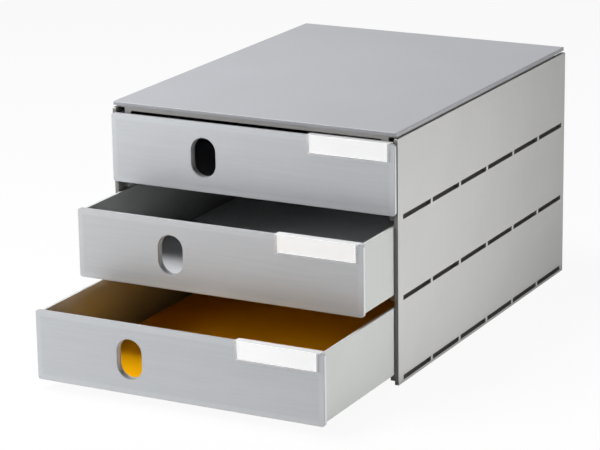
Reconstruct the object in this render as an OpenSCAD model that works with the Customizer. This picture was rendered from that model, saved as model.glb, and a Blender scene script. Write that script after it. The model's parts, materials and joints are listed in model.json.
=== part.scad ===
// Desktop file drawer box for letter-size or C4 papers, with three drawers.
// The case stands on its base at z = 0. +X is to the right seen from the front,
// +Y is to the back and the drawers slide out along -Y.
// The drawers are drawn as they stand in use: the top one closed, the other two part open.

/* [Case] */
// Width over the two side panels
case_w = 246; // [220:1:280]
// Depth of the side panels, front edge to back edge
case_d = 326; // [290:1:360]
// Thickness of a side panel
panel_t = 3.3; // [2.6:0.1:4]
// Height from one drawer to the next
pitch = 63.2; // [60:0.1:80]
// Height of the side panels above the third drawer's bay
panel_head = 2.2; // [1:0.1:6]
// Thickness of the base panel
base_t = 2; // [1.6:0.1:2.2]
// How far the base panel's front edge lies behind the side panels' front edge
base_setback = 20; // [10:1:60]
// Thickness of the rear panel
rear_t = 2.5; // [2:0.1:3.5]
// How far the rear panel's top lies below the side panels' top
rear_drop = 8; // [4:0.5:30]
// How deep the rear panel's ends seat in the side panels
rear_seat = 1.3; // [0.5:0.1:1.8]
// Bevel on the side panels' outer edges, upright and upper
panel_bevel = 0.3; // [0.1:0.1:0.5]
// Radius of the side panels' upper corners, seen from the side
panel_corner = 1.5; // [0.5:0.1:1.9]

/* [Top] */
// Thickness of the deck that joins the side panels at the top
deck_t = 1.95; // [1.5:0.05:3]
// How far the deck's side edges lie inside the side panels' outer faces
deck_inset = 2; // [1:0.1:2.8]
// How far the deck's front edge and lip lie behind the side panels' front edge
deck_setback = 3.5; // [3:0.1:8]
// How far the deck stops short of the side panels' back edge
deck_rear_gap = 20; // [8:1:40]
// Height of the lip under the deck's front edge
lip_h = 2.3; // [1.5:0.1:2.6]
// Thickness of that lip
lip_t = 2; // [1.5:0.1:3]
// Gap between each end of the lip and the side panel
lip_gap = 5.9; // [5:0.1:25]
// Width of the tab at each end of the lip
tab_w = 3.8; // [2:0.1:8]
// Depth of the tab below the deck
tab_h = 5.8; // [3:0.1:6]
// Run of the slope that leads from the lip down to the tab
tab_slope = 2.5; // [1:0.1:6]
// Thickness of the ribs that place the deck between the side panels
rib_t = 1.4; // [1:0.1:2]
// Height of those ribs below the deck
rib_h = 2.2; // [1:0.1:2.5]
// Clearance of those ribs to the side panels
rib_clear = 0.3; // [0.1:0.1:0.6]
// Distance of those ribs from the deck's front and back edges
rib_end = 8; // [2:1:30]
// Thickness of the cover plate
cover_t = 2.75; // [2:0.05:5]
// How far the cover's side edges lie inside the side panels' outer faces
cover_inset = 0.5; // [0:0.1:3]
// How far the cover stops short of the side panels' back edge
cover_rear_gap = 1.6; // [0:0.1:6]
// Corner radius of the cover
cover_corner = 1.5; // [0.8:0.1:6]
// Bevel round the cover's upper edge
cover_bevel = 0.5; // [0.2:0.1:0.7]

/* [Runners] */
// Height of the lowest runner's top above the ground
first_runner = 7.1; // [6.8:0.1:9]
// How far a runner stands in from its side panel
runner_in = 6.5; // [5:0.1:9]
// Wall of the hollow runners
runner_wall = 1.3; // [1:0.1:1.6]
// Height of the slots that open the runners' pockets
slot_h = 3.8; // [3:0.1:3.9]
// Distance from the side panel's front edge to the first slot
slot_front = 8.5; // [6:0.1:15]
// Distance from the last slot to the side panel's back edge
slot_rear = 6.8; // [5:0.1:15]
// Slots in a row
slot_count = 6; // [3:1:9]
// Web between two slots
slot_web = 3.5; // [2:0.1:6]
// End wall of a runner before the first slot and after the last
runner_end = 2.4; // [1.5:0.1:2.5]

/* [Drawer trays] */
// Clearance between a tray and each side panel
tray_clear = 0.7; // [0.4:0.1:1.5]
// Wall thickness of the trays
tray_wall = 2; // [1.6:0.1:2.5]
// Floor thickness of the trays
tray_floor = 2; // [1.6:0.1:3]
// How far the trays' walls end below the fronts' top edge
tray_low = 0.9; // [0.5:0.1:12]
// Distance from a closed tray's back to the rear panel
tray_rear_gap = 5.5; // [1:0.1:20]
// Corner radius at the tray's back, outside
tray_corner = 4; // [3:0.5:10]
// Bevel round the tray's lower edge
tray_bevel = 1; // [0.4:0.1:1.5]
// Thickness of the floor liners
liner_t = 0.8; // [0.5:0.1:1.5]
// Clearance round a floor liner
liner_clear = 0.4; // [0.2:0.1:1]

/* [Drawer fronts] */
// How far a front's edge lies inside the side panel's outer face
front_inset = 1; // [0.5:0.1:2]
// Thickness of a front
front_t = 3.5; // [2.5:0.1:5]
// Gap between a closed front and the side panels' front edge
front_gap = 0.5; // [0.2:0.1:1]
// Gap between two closed fronts, one above the other
front_space = 8.3; // [7.5:0.1:20]
// How far a front reaches below its tray
front_lap = 0.2; // [0:0.1:1]
// Corner radius of a front
front_corner = 2.5; // [1:0.1:6]
// Width of the slightly bevelled border round a front's face
border_w = 8; // [3:0.5:12]
// How far that border falls back at the front's edge
border_fall = 0.35; // [0.1:0.05:1]
// Distance of the finger hole's centre left of the middle
hole_left = 40.2; // [20:0.1:80]
// Width of the finger hole
hole_w = 21; // [18:0.5:30]
// Height of the finger hole
hole_h = 31; // [24:0.5:40]
// Bevel round the finger hole's front rim
hole_bevel = 0.5; // [0.2:0.1:1]

/* [Labels] */
// Distance from the label holder's right end to the front's right edge
label_end = 4.2; // [2:0.1:60]
// Length of the label holder
label_len = 67.4; // [40:0.1:100]
// How far the hook over the front's top edge reaches past each end of the holder
hook_side = 0.7; // [0:0.1:1.5]
// Height of the holder below the front's top edge
label_h = 13; // [10:0.1:20]
// Thickness of the holder's sheet
holder_t = 0.7; // [0.5:0.1:1]
// Height of the holder's leg behind the front
holder_leg = 7; // [4:0.5:12]
// Clearance between that leg and the tray's side wall
leg_clear = 0.5; // [0.2:0.1:2]
// Height of the channel at the holder's foot, which the card stands on
channel_w = 0.8; // [0.5:0.1:1.5]
// Width of the lips that keep the card in at the holder's ends
channel_end = 1.2; // [0.6:0.1:2]
// Thickness of the label card
card_t = 0.4; // [0.2:0.1:0.6]

/* [Stops] */
// How far a drawer can be pulled out
travel = 240; // [150:1:250]
// Length of the stop block
block_len = 4; // [3:0.5:8]
// How far the stop block stands in from the runner
block_in = 4; // [3:0.1:6]
// Depth of the block's underside below the runner's top
block_low = 4.8; // [4:0.1:4.8]
// Depth of the block's top below the runner's top
block_high = 1.8; // [1:0.1:2]
// Depth of the tray's stop lug
lug_h = 4.5; // [3:0.1:4.6]
// Thickness of the stop lug
lug_t = 2.8; // [2:0.1:4]
// Length of the stop lug
lug_len = 6; // [4:0.5:10]
// Distance from the tray's back to the stop lug
lug_back = 11.6; // [6:0.1:30]
// Clearance of the lug to the runner and of lug to block
lug_clear = 0.4; // [0.2:0.1:1]

/* [Feet] */
// Diameter of a foot pad
pad_d = 16; // [10:1:24]
// Thickness of a foot pad
pad_t = 1; // [0.6:0.1:1.2]
// Clearance round a foot pad
pad_clear = 0.3; // [0.1:0.1:0.6]
// Distance from the base panel's side edges to the pads' centres
pad_side = 21.2; // [14:0.1:60]
// Distance from the base panel's front edge to the front pads' centres
pad_front = 17; // [14:0.5:60]
// Distance from the base panel's back edge to the rear pads' centres
pad_rear = 34.5; // [14:0.5:60]

/* [Position of the drawers] */
// How far the top drawer stands open
open_top = 0; // [0:0.5:140]
// How far the middle drawer stands open
open_middle = 53; // [0:0.5:140]
// How far the bottom drawer stands open
open_bottom = 116.5; // [0:0.5:140]

/* [Hidden] */
$fn = 48;
TOL = 0.01;
BAYS = 3;

half_w = case_w / 2;
inner_x = half_w - panel_t;                 // inner face of a side panel
y_front = -case_d / 2;                      // front edge of the side panels
y_back = case_d / 2;                        // back edge of the side panels
panel_top = BAYS * pitch + panel_head;
deck_top = panel_top + deck_t;
rear_x = inner_x + rear_seat;               // end of the rear panel
rear_top = panel_top - rear_drop;

runner_h = slot_h + 2 * runner_wall;        // height of a runner
runner_x = inner_x - runner_in;             // inner face of a runner
runner_y0 = y_front + slot_front - runner_end;
runner_y1 = y_back - slot_rear + runner_end;
slot_row = case_d - slot_front - slot_rear;
slot_step = (slot_row + slot_web) / slot_count;

tray_x = inner_x - tray_clear;              // outer face of a tray's side wall
tray_in = tray_x - tray_wall;               // inner face of that wall
tray_y0 = y_front - front_gap;              // front of a closed tray
tray_y1 = y_back - rear_t - tray_rear_gap;  // back of a closed tray

front_x = half_w - front_inset;             // edge of a front
front_y1 = tray_y0;                         // back face of a closed front
front_y0 = front_y1 - front_t;              // front face of a closed front
front_h = pitch - front_space;
front_bottom = -front_lap;                  // over the tray's underside
front_top = front_bottom + front_h;
tray_h = front_top - tray_low;              // height of the tray's walls
hole_z = front_bottom + front_h / 2;
label_x1 = front_x - label_end;             // right end of the label holder
label_x0 = label_x1 - label_len;            // left end of the label holder

lug_x = runner_x - lug_clear;               // outer face of a lug
lug_y0 = tray_y1 - lug_back - lug_len;      // front face of a closed drawer's lug
block_y1 = lug_y0 - travel - lug_clear;     // back face of the stop block it meets

base_y0 = y_front + base_setback;
base_y1 = y_back - rear_t;
pad_x = runner_x - pad_side;

function runner_top(bay) = first_runner + pitch * bay;

// ---- shapes that repeat ----

// A box from one corner to the opposite one
module block(from, to) {
    translate(from) cube(to - from);
}

// A rectangle with true round corners, from one corner to the opposite one
module round_rect(from, to, r) {
    translate([from[0] + r, from[1]]) square([to[0] - from[0] - 2 * r, to[1] - from[1]]);
    translate([from[0], from[1] + r]) square([to[0] - from[0], to[1] - from[1] - 2 * r]);
    for (x = [from[0] + r, to[0] - r], y = [from[1] + r, to[1] - r])
        translate([x, y]) circle(r);
}

// Puts a flat outline given in (x, z) upright, so that it reaches from y0 to y1
module upright(y0, y1) {
    translate([0, y1, 0]) rotate([90, 0, 0]) linear_extrude(y1 - y0) children();
}

// Puts a flat outline given in (y, z) on edge, so that it reaches from x0 to x1
module sideways(x0, x1) {
    translate([x0, 0, 0]) rotate([90, 0, 90]) linear_extrude(x1 - x0) children();
}

// Moves a drawer's piece from bay 0, closed, to its own bay and opening
module in_bay(bay, open) {
    translate([0, -open, runner_top(bay)]) children();
}

// ---- case ----

// The right-hand side panel: a plate with three hollow runners, whose pockets open outwards,
// and a rebate at the back in which the rear panel seats
module side_panel() {
    color("#c3c3bf") difference() {
        union() {
            intersection() {
                linear_extrude(panel_top) panel_plan();
                sideways(inner_x - 1, half_w + 1) panel_side();
                upright(y_front - 1, y_back + 1) panel_end();
            }
            for (bay = [0 : BAYS - 1]) runner(bay);
        }
        for (bay = [0 : BAYS - 1]) runner_pockets(bay);
        block([inner_x - TOL, y_back - rear_t, -TOL], [rear_x, y_back + TOL, rear_top]);
    }
}

// The side panel seen from above, with its outer edges softened
module panel_plan() {
    c = panel_bevel;
    polygon([
        [inner_x, y_front], [half_w - c, y_front], [half_w, y_front + c],
        [half_w, y_back - c], [half_w - c, y_back], [inner_x, y_back]
    ]);
}

// The side panel seen from the side, with its upper corners rounded
module panel_side() {
    r = panel_corner;
    translate([y_front, 0]) square([case_d, panel_top - r]);
    translate([y_front + r, 0]) square([case_d - 2 * r, panel_top]);
    for (y = [y_front + r, y_back - r]) translate([y, panel_top - r]) circle(r);
}

// The side panel seen from its end, with its upper outer edge softened
module panel_end() {
    c = panel_bevel;
    polygon([
        [inner_x - 1, 0], [half_w, 0], [half_w, panel_top - c], [half_w - c, panel_top],
        [inner_x - 1, panel_top]
    ]);
}

// A runner with its stop block
module runner(bay) {
    top = runner_top(bay);
    block([runner_x, runner_y0, top - runner_h], [inner_x + TOL, runner_y1, top]);
    block([runner_x - block_in, block_y1 - block_len, top - block_low],
          [runner_x + TOL, block_y1, top - block_high]);
}

module runner_pockets(bay) {
    z = runner_top(bay) - runner_wall - slot_h;
    for (i = [0 : slot_count - 1])
        translate([runner_x + runner_wall, y_front + slot_front + i * slot_step, z])
            cube([half_w - runner_x, slot_step - slot_web, slot_h]);
}

// The rear panel, whose ends seat in the side panels' rebates
module rear_panel() {
    color("#b4b5b3") block([-rear_x, y_back - rear_t, 0], [rear_x, y_back, rear_top]);
}

// The base panel, between the lowest runners, with a recess for each foot pad
module base_panel() {
    color("#b4b5b3") difference() {
        block([-runner_x, base_y0, 0], [runner_x, base_y1, base_t]);
        for (x = [-pad_x, pad_x], y = [base_y0 + pad_front, base_y1 - pad_rear])
            translate([x, y, -TOL]) cylinder(d = pad_d + 2 * pad_clear, h = pad_t + TOL);
    }
}

module foot_pad(x, y) {
    color("#3c3c3c") translate([x, y, 0]) cylinder(d = pad_d, h = pad_t);
}

// The deck, which lies on the side panels' top edges and ties them together
module top_deck() {
    deck_x = half_w - deck_inset;
    y0 = y_front + deck_setback;
    y1 = y_back - deck_rear_gap;
    color("#a9abac") {
        block([-deck_x, y0, panel_top], [deck_x, y1, deck_top]);
        upright(y0, y0 + lip_t) lip_outline();
        for (side = [-1, 1]) {
            outer = inner_x - rib_clear;
            x0 = side > 0 ? outer - rib_t : -outer;
            block([x0, y0 + rib_end, panel_top - rib_h], [x0 + rib_t, y1 - rib_end, panel_top + TOL]);
        }
    }
}

// The front lip seen from the front: a low strip that steps down to a tab at each end
module lip_outline() {
    e = inner_x - lip_gap;
    right = [[e - tab_w - tab_slope, -lip_h], [e - tab_w, -tab_h], [e, -tab_h], [e, TOL]];
    left = [for (i = [3 : -1 : 0]) [-right[i][0], right[i][1]]];
    translate([0, panel_top]) polygon(concat(right, left));
}

// The cover plate, which lies on the deck and leaves a shadow gap over the side panels
module top_cover() {
    x = half_w - cover_inset;
    low = [-x, y_front];
    high = [x, y_back - cover_rear_gap];
    color("#bcbec0") intersection() {
        translate([0, 0, deck_top]) linear_extrude(cover_t) round_rect(low, high, cover_corner);
        upright(low[1], high[1]) bevelled(-x, x);
        sideways(-x, x) bevelled(low[1], high[1]);
    }
}

// The cover's section from a to b, with its two upper edges bevelled
module bevelled(a, b) {
    c = cover_bevel;
    translate([0, deck_top])
        polygon([[a, 0], [b, 0], [b, cover_t - c], [b - c, cover_t], [a + c, cover_t], [a, cover_t - c]]);
}

// ---- drawers, drawn closed in bay 0 with the tray's underside at z = 0 ----

// The tray: a deep box, open at the top, with a stop lug under each side near the back
module drawer_tray() {
    color("#c9cac8") {
        difference() {
            tray_body();
            translate([0, 0, tray_floor]) linear_extrude(tray_h)
                tray_outline(tray_in, tray_y0 + tray_wall, tray_y1 - tray_wall, tray_corner - tray_wall);
            upright(tray_y0 - 1, tray_y0 + tray_wall + 1) hole_outline(0);
        }
        for (side = [-1, 1]) {
            x0 = side > 0 ? lug_x - lug_t : -lug_x;
            block([x0, lug_y0, -lug_h], [x0 + lug_t, lug_y0 + lug_len, TOL]);
        }
    }
}

// The outside of a tray: its side section, its front-to-back section and its two rear corners
module tray_body() {
    r = tray_corner;
    upright(tray_y0, tray_y1 - r) tray_section(-tray_x, tray_x);
    sideways(r - tray_x, tray_x - r) tray_section(tray_y0, tray_y1);
    for (side = [-1, 1]) translate([side * (tray_x - r), tray_y1 - r, 0]) {
        translate([0, 0, tray_bevel]) cylinder(r = r, h = tray_h - tray_bevel);
        cylinder(r1 = r - tray_bevel, r2 = r, h = tray_bevel);
    }
}

// A tray's outer section from a to b, with its two lower edges bevelled
module tray_section(a, b) {
    c = tray_bevel;
    polygon([[a + c, 0], [b - c, 0], [b, c], [b, tray_h], [a, tray_h], [a, c]]);
}

// Square at the front, round at the back
module tray_outline(x, y0, y1, r) {
    translate([-x, y0]) square([2 * x, y1 - y0 - r]);
    translate([-x + r, y0]) square([2 * (x - r), y1 - y0]);
    for (side = [-1, 1]) translate([side * (x - r), y1 - r]) circle(r);
}

// The finger hole seen from the front, grown by some amount
module hole_outline(grow) {
    r = hole_w / 2 + grow;
    rise = (hole_h - hole_w) / 2;
    translate([-hole_left, hole_z]) {
        translate([-r, -rise]) square([2 * r, 2 * rise]);
        for (end = [-1, 1]) translate([0, end * rise]) circle(r);
    }
}

// The front: its face, its plan and its side view cut one another
module drawer_front() {
    color("#aeb1b3") difference() {
        intersection() {
            upright(front_y0, front_y1)
                round_rect([-front_x, front_bottom], [front_x, front_top], front_corner);
            translate([0, 0, front_bottom]) linear_extrude(front_h) front_section(-front_x, front_x);
            sideways(-front_x, front_x) mirror([1, -1]) front_section(front_bottom, front_top);
        }
        upright(front_y0 - 1, front_y1 + 1) hole_outline(0);
        hole_rim();
    }
}

// A front's section from a to b: flat, with a border that falls back a little at each edge
module front_section(a, b) {
    polygon([
        [a, front_y1], [a, front_y0 + 2 * border_fall], [a + border_fall, front_y0 + border_fall],
        [a + border_w, front_y0], [b - border_w, front_y0],
        [b - border_fall, front_y0 + border_fall], [b, front_y0 + 2 * border_fall], [b, front_y1]
    ]);
}

// The bevel round the finger hole: two cones and the straight stretch between them
module hole_rim() {
    r = hole_w / 2;
    rise = (hole_h - hole_w) / 2;
    c = hole_bevel;
    translate([-hole_left, front_y0, hole_z]) {
        for (end = [-1, 1])
            translate([0, -TOL, end * rise]) rotate([-90, 0, 0])
                cylinder(r1 = r + c + TOL, r2 = r, h = c + TOL);
        translate([0, 0, -rise]) linear_extrude(2 * rise)
            polygon([[-r - c - TOL, -TOL], [r + c + TOL, -TOL], [r, c], [-r, c]]);
    }
}

// The holder hangs over the front's top edge; a channel at its foot and ends keeps the card
module label_holder() {
    z0 = front_top - label_h;
    z1 = front_top + holder_t;
    y0 = front_y0 - holder_t;
    lip_y = y0 - card_t - holder_t;
    back = tray_y0 + tray_wall;
    leg_x1 = min(label_x1, tray_in - leg_clear);
    color("#c6c8ca") {
        block([label_x0, y0, z0], [label_x1, front_y0, z1]);
        block([label_x0 - hook_side, y0, front_top], [label_x1 + hook_side, back + holder_t, z1]);
        block([label_x0, back, front_top - holder_leg], [leg_x1, back + holder_t, z1]);
        block([label_x0, lip_y, z0 - channel_w], [label_x1, y0 + TOL, z0]);
        block([label_x0, y0, z0 - channel_w], [label_x1, front_y0, z0 + TOL]);
        for (x = [label_x0, label_x1 - channel_end])
            block([x, lip_y, z0 - TOL], [x + channel_end, y0 + TOL, z1]);
    }
}

// The card stands in the holder's channel
module label_card() {
    y1 = front_y0 - holder_t;
    color("white") block([label_x0 + channel_end, y1 - card_t, front_top - label_h],
                         [label_x1 - channel_end, y1, front_top + holder_t]);
}

// A loose sheet on the tray's floor
module floor_liner(tint) {
    edge = tray_wall + liner_clear;
    color(tint) translate([0, 0, tray_floor]) linear_extrude(liner_t)
        tray_outline(tray_x - edge, tray_y0 + edge, tray_y1 - edge, tray_corner - tray_wall);
}

top_cover();
top_deck();
mirror([1, 0, 0]) side_panel();  // left_side_panel
side_panel();  // right_side_panel
rear_panel();
base_panel();
foot_pad(-pad_x, base_y0 + pad_front);  // foot_pad_front_left
foot_pad(pad_x, base_y0 + pad_front);  // foot_pad_front_right
foot_pad(-pad_x, base_y1 - pad_rear);  // foot_pad_rear_left
foot_pad(pad_x, base_y1 - pad_rear);  // foot_pad_rear_right

in_bay(2, open_top) drawer_tray();  // top_drawer_tray
in_bay(2, open_top) drawer_front();  // top_drawer_front
in_bay(2, open_top) label_holder();  // top_label_holder
in_bay(2, open_top) label_card();  // top_label_card
in_bay(2, open_top) floor_liner("#b9bbbd");  // top_floor_liner

in_bay(1, open_middle) drawer_tray();  // middle_drawer_tray
in_bay(1, open_middle) drawer_front();  // middle_drawer_front
in_bay(1, open_middle) label_holder();  // middle_label_holder
in_bay(1, open_middle) label_card();  // middle_label_card
in_bay(1, open_middle) floor_liner("#b9bbbd");  // middle_floor_liner

in_bay(0, open_bottom) drawer_tray();  // bottom_drawer_tray
in_bay(0, open_bottom) drawer_front();  // bottom_drawer_front
in_bay(0, open_bottom) label_holder();  // bottom_label_holder
in_bay(0, open_bottom) label_card();  // bottom_label_card
in_bay(0, open_bottom) floor_liner("#f5a800");  // bottom_floor_liner
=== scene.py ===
"""Finishes, studio and camera for the desktop file drawer box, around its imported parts.

Lengths are in metres, +Z is up and the drawers' fronts look towards -Y.
"""
import json
import math

import bpy
from mathutils import Matrix, Vector


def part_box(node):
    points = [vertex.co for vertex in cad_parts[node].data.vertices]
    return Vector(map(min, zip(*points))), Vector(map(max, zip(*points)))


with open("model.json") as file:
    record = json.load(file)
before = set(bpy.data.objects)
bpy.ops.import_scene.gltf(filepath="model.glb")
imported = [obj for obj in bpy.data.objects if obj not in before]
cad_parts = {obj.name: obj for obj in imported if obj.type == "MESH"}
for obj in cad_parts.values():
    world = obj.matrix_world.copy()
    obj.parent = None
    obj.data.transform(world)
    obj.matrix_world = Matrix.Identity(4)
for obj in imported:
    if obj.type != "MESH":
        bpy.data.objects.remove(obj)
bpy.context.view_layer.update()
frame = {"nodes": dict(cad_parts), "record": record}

# ---- camera, fitted to the photograph without lens shift ----

IMAGE_WIDTH = 600            # pixels
FOCAL_LENGTH = 2580.8        # pixels
SENSOR_WIDTH = 36.0          # millimetres
CAMERA_AZIMUTH = 27.933      # degrees, to the right of straight ahead
CAMERA_ELEVATION = 16.18     # degrees
CAMERA_ROLL = -0.864         # degrees
CAMERA_TARGET = Vector((0.0196, -0.1234, 0.1032))
CAMERA_DISTANCE = 2.0

# ---- studio ----

FLOOR_SIZE = 16.0
FLOOR_LEVEL = -0.0002        # just under the part's own base
FLOOR_COLOUR = 0.86          # its grey where it is lit and shaded
FLOOR_GLOW = 0.93            # share of plain white in what is seen of it, the rest is lit and shaded
RIGHT_WATTS = 1.4
FRONT_WATTS = 3.6
TOP_WATTS = 18.7

# ---- directions and colours ----

FORWARDS = (0, -1, 0)
SIDEWAYS = (1, 0, 0)
UPWARDS = (0, 0, 1)
BLACK = (0, 0, 0)
WHITE = (1, 1, 1, 1)

# ---- shading ----

NOISE_RANGE = (0.3, 0.7)     # most values of a noise lie in it
OPEN_RANGE = (0.45, 0.92)    # openness of corners, from the darkest painted shade to none
OCCLUSION_SAMPLES = 8
BEVEL_SAMPLES = 6
EDGE_RADIUS = 0.00035        # how far moulded edges look rounded


class Nodes:
    """A node tree whose nodes are added one call at a time."""

    def __init__(self, tree):
        self.tree = tree
        tree.nodes.clear()

    def put(self, value, socket):
        """Gives the socket a plain value, or links another node's output to it."""
        if isinstance(value, bpy.types.NodeSocket):
            self.tree.links.new(value, socket)
        else:
            socket.default_value = value

    def add(self, kind, inputs=None, **settings):
        """Adds a node. Each of its inputs is a plain value or another node's output."""
        node = self.tree.nodes.new(kind)
        for key, value in settings.items():
            setattr(node, key, value)
        for key, value in (inputs or {}).items():
            self.put(value, node.inputs[key])
        return node

    def combined(self, operation, first, second):
        """What a math node makes of two numbers, each plain or a node's output."""
        return self.add("ShaderNodeMath", {0: first, 1: second}, operation=operation).outputs["Value"]

    def seen(self):
        """1 for rays from the camera and from glossy or clear surfaces, and 0 for all others."""
        path = self.add("ShaderNodeLightPath").outputs
        seen = path["Is Camera Ray"]
        for other in ("Is Glossy Ray", "Is Transmission Ray"):
            seen = self.combined("MAXIMUM", seen, path[other])
        return seen


class Shader(Nodes):
    """The nodes of a new material."""

    def __init__(self, name):
        self.material = bpy.data.materials.new(name)
        self.material.use_nodes = True
        super().__init__(self.material.node_tree)

    def noise(self, size, stretch=(1, 1, 1), detail=3.0):
        """Noise whose features are about size metres, times stretch along each axis."""
        place = self.add("ShaderNodeTexCoord").outputs["Object"]
        scale = [1 / (size * s) for s in stretch]
        mapped = self.add("ShaderNodeMapping", {"Vector": place, "Scale": scale}).outputs["Vector"]
        settings = {"Vector": mapped, "Scale": 1.0, "Detail": detail}
        return self.add("ShaderNodeTexNoise", settings).outputs["Fac"]

    def ramp(self, value, low, high, over=(0, 1)):
        """Numbers from low to high, as the value goes over that range."""
        start, end = over
        settings = {"Value": value, "From Min": start, "From Max": end, "To Min": low, "To Max": high}
        return self.add("ShaderNodeMapRange", settings).outputs["Result"]

    def spread(self, noise, middle, reach):
        """Numbers that lie up to reach below and above the middle, as the noise does."""
        return self.ramp(noise, middle - reach, middle + reach, NOISE_RANGE)

    def mixed(self, first, second, share, kind="RGBA"):
        """Between two colours or vectors, each plain or a node's output, by the share of the second."""
        node = self.add("ShaderNodeMix", data_type=kind)
        for name, value in (("Factor", share), ("A", first), ("B", second)):
            socket = next(s for s in node.inputs if s.name == name and s.enabled)
            if not isinstance(value, bpy.types.NodeSocket):
                opaque = [1] * (len(socket.default_value) - len(value))
                value = list(value) + opaque
            self.put(value, socket)
        return next(s for s in node.outputs if s.enabled)

    def darkened(self, colour, share):
        """The colour, times the share."""
        return self.mixed(BLACK, colour, share)

    def tinted(self, colour, amount, value, over=NOISE_RANGE):
        """The colour, from darker to lighter by that amount as the value goes over the range."""
        dark = [c * (1 - amount) for c in colour]
        light = [min(1, c * (1 + amount)) for c in colour]
        return self.mixed(dark, light, self.ramp(value, 0, 1, over))

    def facing(self, direction, cosines):
        """From 0 to 1 as a face turns towards the direction, from the first cosine to the second."""
        normal = self.add("ShaderNodeNewGeometry").outputs["True Normal"]
        cosine = self.add("ShaderNodeVectorMath", {0: normal, 1: direction}, operation="DOT_PRODUCT")
        return self.ramp(cosine.outputs["Value"], 0, 1, cosines)

    def shaded(self, colour, reach, shade, openness=OPEN_RANGE, alone=False):
        """The colour with painted shade in corners about reach metres deep, down to that shade of it.

        openness holds the shares of free directions at which it is darkest and not darkened.
        If alone, only the piece's own corners count, and not those that it makes with others.
        """
        sky = self.add("ShaderNodeAmbientOcclusion", {"Distance": reach},
                       samples=OCCLUSION_SAMPLES, only_local=alone)
        return self.darkened(colour, self.ramp(sky.outputs["AO"], shade, 1, openness))

    def near_edges(self, size, width, blur):
        """1 near the edges of a plate of that size, seen from the front, and 0 further in.

        It fades at width metres from the edges, over blur, a share of the width, either way.
        """
        place = self.add("ShaderNodeTexCoord").outputs["Generated"]
        parts = self.add("ShaderNodeSeparateXYZ", {"Vector": place}).outputs
        distances = []
        for part, length in ((parts["X"], size[0]), (parts["Z"], size[1])):
            nearer = self.combined("MINIMUM", part, self.combined("SUBTRACT", 1, part))
            distances.append(self.combined("MULTIPLY", nearer, length))
        nearest = self.combined("MINIMUM", *distances)
        return self.ramp(nearest, 1, 0, (width * (1 - blur), width * (1 + blur)))

    def relief(self, height, depth, strength, edge=EDGE_RADIUS, turned=None):
        """A normal with edges softened over edge metres, and relief about depth metres deep.

        turned is a direction, and the share of it that the normal takes before the relief.
        """
        normal = self.add("ShaderNodeBevel", {"Radius": edge}, samples=BEVEL_SAMPLES).outputs["Normal"]
        if turned:
            direction, share = turned
            normal = self.mixed(normal, direction, share, "VECTOR")
        settings = {"Height": height, "Distance": depth, "Strength": strength, "Normal": normal}
        return self.add("ShaderNodeBump", settings).outputs["Normal"]

    def finish(self, **principled):
        """Ends in a Principled shader with these inputs, by their names with spaces as underscores."""
        inputs = {key.replace("_", " "): value for key, value in principled.items()}
        shader = self.add("ShaderNodeBsdfPrincipled", inputs)
        self.add("ShaderNodeOutputMaterial", {"Surface": shader.outputs["BSDF"]})
        return self.material


# ---- moulded plastic ----

GRAIN_SIZE = 0.0007
GRAIN_DEPTH = 0.00004
GRAIN_STRENGTH = 0.6
CLOUD_SIZE = 0.06
CLOUD_TINT = 0.02            # how much the clouding changes the colour
UNEVEN_GLOSS = 0.05          # how much the grain changes the roughness
END_TURN = (0.9, 0.95)       # cosines between which a face starts to count as looking forwards, and gets painted shade


def moulded_plastic(name, colour, roughness, gloss=0.5, recess=None, shade=1.0, alone=False,
                    forward_shade=1.0):
    """Satin moulded plastic: a spark-eroded grain, faint clouding and slightly uneven gloss.

    Corners that lie about recess metres deep get painted shade, down to that shade of the colour,
    and faces that look forwards get painted shade, to forward_shade of it. gloss is the specular level.
    """
    shader = Shader(name)
    grain = shader.noise(GRAIN_SIZE)
    tint = shader.tinted(colour, CLOUD_TINT, shader.noise(CLOUD_SIZE, detail=2.0))
    if recess:
        tint = shader.shaded(tint, recess, shade, alone=alone)
    if forward_shade < 1:
        tint = shader.darkened(tint, shader.ramp(shader.facing(FORWARDS, END_TURN), 1, forward_shade))
    return shader.finish(
        Base_Color=tint,
        Roughness=shader.spread(grain, roughness, UNEVEN_GLOSS),
        Specular_IOR_Level=gloss,
        Normal=shader.relief(grain, GRAIN_DEPTH, GRAIN_STRENGTH),
    )


# ---- drawer fronts ----

HAIR_SIZE = 0.0004           # fine brushed hairs
HAIR_STRETCH = (70, 1, 1)
HAIR_DEPTH = 0.00003
HAIR_STRENGTH = 0.6
STREAK_SIZE = 0.0025         # wider streaks among them
STREAK_STRETCH = (30, 1, 1)
BRUSH_RANGE = (0.84, 1.16)   # sum of hairs and streaks, from the darkest to the lightest
BRUSH_TINT = 0.025           # how much they change the colour
BRUSH_ROUGHNESS = 0.38
BRUSH_UNEVEN = 0.06          # how much the hairs change the roughness
FACE_TURN = (0.97, 0.995)    # cosines between which a surface starts to count as the face
FACE_METAL = 0.45            # metallic share of the face, none elsewhere
FACE_GLOSS = 0.5             # specular level of the face
REST_GLOSS = 0.2             # and of the edges and back
FRAME_WIDTH = 0.0042         # plain frame round the brushed face, with a painted highlight
FRAME_BLUR = 0.2             # share of that width over which it fades, either way
FRAME_HIGHLIGHT = 1.08            # painted highlight: colour of that frame against the face
EDGE_SHADE = 0.8              # painted shade: colour of the edges and back against the face
RIGHT_EDGE_HIGHLIGHT = 1.4         # painted highlight: the same for the right edge
SIDE_TURN = (0.8, 0.95)      # cosines between which a surface starts to count as the right edge
HOLE_DEPTH = 0.015           # painted shade darkens the finger hole's walls over about this depth
HOLE_SHADE = 0.1
HOLE_OPEN = (0.65, 0.95)     # openness of these walls, from the darkest painted shade to none


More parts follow.
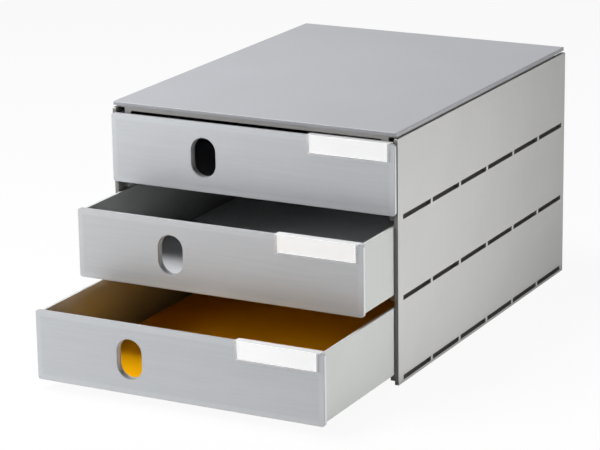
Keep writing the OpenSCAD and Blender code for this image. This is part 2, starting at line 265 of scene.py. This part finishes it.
def brushed_front(name, colour):
    """A front: its face is silver-grey with a sideways brushed grain, in a plain frame with a painted
    highlight.

    The face is shaded as if it didn't fall back towards its edges, and the edges and back
    aren't metallic. The edges and back carry painted shade, the right edge a painted highlight
    and the finger hole painted shade. All three fronts are as large as the top one.
    """
    shader = Shader(name)
    low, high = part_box("top_drawer_front")
    face = shader.facing(FORWARDS, FACE_TURN)
    hairs = shader.noise(HAIR_SIZE, HAIR_STRETCH)
    streaks = shader.noise(STREAK_SIZE, STREAK_STRETCH)
    brushed = shader.tinted(colour, BRUSH_TINT, shader.combined("ADD", hairs, streaks), BRUSH_RANGE)
    # painted highlight: the plain frame along the face's edges is lighter than the face
    frame_share = shader.near_edges((high[0] - low[0], high[2] - low[2]), FRAME_WIDTH, FRAME_BLUR)
    framed = shader.mixed(brushed, [c * FRAME_HIGHLIGHT for c in colour], frame_share)
    # painted shade on the edges and back, a painted highlight on the right edge, painted shade in the
    # finger hole
    right = shader.facing(SIDEWAYS, SIDE_TURN)
    rest = shader.mixed([c * EDGE_SHADE for c in colour], [c * RIGHT_EDGE_HIGHLIGHT for c in colour], right)
    rest = shader.shaded(rest, HOLE_DEPTH, HOLE_SHADE, HOLE_OPEN, alone=True)
    return shader.finish(
        Base_Color=shader.mixed(rest, framed, face),
        Roughness=shader.spread(hairs, BRUSH_ROUGHNESS, BRUSH_UNEVEN),
        Metallic=shader.ramp(face, 0, FACE_METAL),
        Specular_IOR_Level=shader.ramp(face, REST_GLOSS, FACE_GLOSS),
        Normal=shader.relief(hairs, HAIR_DEPTH, HAIR_STRENGTH, turned=(FORWARDS, face)),
    )


# ---- label holders, cards and foot pads ----

CLEAR_ALPHA = 0.3
CLEAR_HIGHLIGHT_ALPHA = 0.8       # of surfaces that look up: a painted highlight, as more of the pale colour shows along the holder's top
CLEAR_TURN = (0.5, 0.9)      # cosines between which a surface starts to count as looking up
PAPER_GLOW = 0.27            # light that the card gives off, which whitens it


def clear_plastic(name, colour):
    """Thin clear plastic with a slight milky haze, and a painted highlight along its top, where it is
    more opaque.
    """
    shader = Shader(name)
    cloud = shader.noise(size=0.01, detail=1.0)
    return shader.finish(
        Base_Color=shader.tinted(colour, amount=0.02, value=cloud),
        Roughness=shader.spread(cloud, middle=0.16, reach=0.04),
        Alpha=shader.ramp(shader.facing(UPWARDS, CLEAR_TURN), CLEAR_ALPHA, CLEAR_HIGHLIGHT_ALPHA),
        Normal=shader.relief(cloud, depth=0.00001, strength=0.3, edge=0.0002),
    )


def paper(name, colour):
    """Plain card with a faint fibre, which glows a little."""
    shader = Shader(name)
    fibre = shader.noise(size=0.0005, stretch=(3, 1, 1))
    return shader.finish(
        Base_Color=shader.tinted(colour, amount=0.01, value=fibre),
        Roughness=0.85,
        Emission_Color=WHITE,
        Emission_Strength=PAPER_GLOW,
        Normal=shader.relief(fibre, depth=0.00002, strength=0.4, edge=0.0001),
    )


def rubber(name, colour):
    """Dark non-slip rubber."""
    shader = Shader(name)
    grain = shader.noise(size=0.0004)
    return shader.finish(
        Base_Color=shader.tinted(colour, amount=0.15, value=grain),
        Roughness=0.9,
        Normal=shader.relief(grain, depth=0.0001, strength=0.8),
    )


def give_finishes():
    """Makes one material for each slot of the record and puts it on every node of that slot."""
    finishes = {
        "cover": moulded_plastic("cover_satin", (0.355, 0.360, 0.386), roughness=0.42),
        "deck": moulded_plastic("deck_matte", (0.41, 0.40, 0.39), roughness=0.55),
        # painted shade in the side panels' slots and corners, and on their faces that look forwards
        "side_panel": moulded_plastic("side_panel_satin", (0.578, 0.576, 0.561), roughness=0.45,
                                      recess=0.012, shade=0.5, forward_shade=0.4),
        "inner_panel": moulded_plastic("inner_panel_matte", (0.44, 0.44, 0.43), roughness=0.55),
        "foot_pad": rubber("foot_pad_rubber", (0.03, 0.03, 0.03)),
        # painted shade in the trays' own inner corners
        "tray": moulded_plastic("tray_satin", (0.60, 0.615, 0.598), roughness=0.58, gloss=0.4,
                                recess=0.05, shade=0.25, alone=True),
        "drawer_front": brushed_front("front_brushed", (0.525, 0.54, 0.56)),
        "label_holder": clear_plastic("label_holder_clear", (0.92, 0.92, 0.93)),
        "label_card": paper("label_card_white", (0.93, 0.93, 0.93)),
        "grey_liner": moulded_plastic("liner_grey", (0.70, 0.70, 0.73), roughness=0.7, gloss=0.2),
        "yellow_liner": moulded_plastic("liner_yellow", (0.95, 0.45, 0.001), roughness=0.8, gloss=0.03),
    }
    for part in frame["record"]["subparts"]:
        mesh = frame["nodes"][part["node"]].data
        mesh.materials.clear()
        mesh.materials.append(finishes[part["material_slot"]])


def make_world():
    """A background that is white wherever it is seen, also in gloss, and gives no other light."""
    world = bpy.data.worlds.new("studio")
    bpy.context.scene.world = world
    world.use_nodes = True
    nodes = Nodes(world.node_tree)
    background = nodes.add("ShaderNodeBackground", {"Color": WHITE, "Strength": nodes.seen()})
    nodes.add("ShaderNodeOutputWorld", {"Surface": background.outputs[0]})


def white_floor(name):
    """A material that is seen as nearly plain white with a soft shadow, and not at all from below."""
    shader = Shader(name)
    lit = shader.add("ShaderNodeBsdfDiffuse", {"Color": (FLOOR_COLOUR,) * 3 + (1,)})
    glow = shader.add("ShaderNodeEmission", {"Color": WHITE, "Strength": 1.0})
    share = shader.combined("MULTIPLY", shader.seen(), FLOOR_GLOW)
    top = shader.add("ShaderNodeMixShader", {0: share, 1: lit.outputs[0], 2: glow.outputs[0]})
    clear = shader.add("ShaderNodeBsdfTransparent")
    under = shader.add("ShaderNodeNewGeometry").outputs["Backfacing"]
    both = shader.add("ShaderNodeMixShader", {0: under, 1: top.outputs[0], 2: clear.outputs[0]})
    shader.add("ShaderNodeOutputMaterial", {"Surface": both.outputs[0]})
    return shader.material


def make_floor():
    """A large square floor just under the part."""
    half = FLOOR_SIZE / 2
    corners = [(-half, -half), (half, -half), (half, half), (-half, half)]
    mesh = bpy.data.meshes.new("floor")
    mesh.from_pydata([(x, y, FLOOR_LEVEL) for x, y in corners], [], [(0, 1, 2, 3)])
    mesh.materials.append(white_floor("floor_white"))
    floor = bpy.data.objects.new("floor", mesh)
    bpy.context.scene.collection.objects.link(floor)


def softbox(name, place, aim, size, watts):
    """A lamp of that width and height, turned towards aim. The camera doesn't see it."""
    lamp = bpy.data.lights.new(name, "AREA")
    lamp.shape = "RECTANGLE"
    lamp.size, lamp.size_y = size
    lamp.energy = watts
    holder = bpy.data.objects.new(name, lamp)
    bpy.context.scene.collection.objects.link(holder)
    holder.location = place
    holder.rotation_euler = (Vector(aim) - Vector(place)).to_track_quat("-Z", "Y").to_euler()
    holder.visible_camera = False


def make_lamps():
    """Three softboxes: a low one for the right side, one for the fronts and one overhead."""
    softbox("right_softbox", place=(0.60, -0.155, 0.05), aim=(0.12, -0.155, 0.05),
            size=(0.06, 0.05), watts=RIGHT_WATTS)
    softbox("front_softbox", place=(-0.56, -0.75, 0.40), aim=(0.0, -0.22, 0.10),
            size=(0.35, 0.35), watts=FRONT_WATTS)
    softbox("top_softbox", place=(-0.50, -0.22, 1.35), aim=(0.0, -0.05, 0.1),
            size=(0.7, 0.7), watts=TOP_WATTS)


def make_camera():
    """The camera, turned by azimuth, elevation and roll about its target."""
    azimuth, elevation = math.radians(CAMERA_AZIMUTH), math.radians(CAMERA_ELEVATION)
    turn = (Matrix.Rotation(azimuth, 4, "Z")
            @ Matrix.Rotation(math.pi / 2 - elevation, 4, "X")
            @ Matrix.Rotation(math.radians(CAMERA_ROLL), 4, "Z"))
    back = turn.col[2].to_3d()
    data = bpy.data.cameras.new("camera")
    data.sensor_width = SENSOR_WIDTH
    data.lens = FOCAL_LENGTH / IMAGE_WIDTH * SENSOR_WIDTH
    camera = bpy.data.objects.new("camera", data)
    bpy.context.scene.collection.objects.link(camera)
    camera.matrix_world = Matrix.Translation(CAMERA_TARGET + back * CAMERA_DISTANCE) @ turn
    bpy.context.scene.camera = camera


bpy.context.scene.view_settings.view_transform = "Standard"
give_finishes()
make_world()
make_floor()
make_lamps()
make_camera()
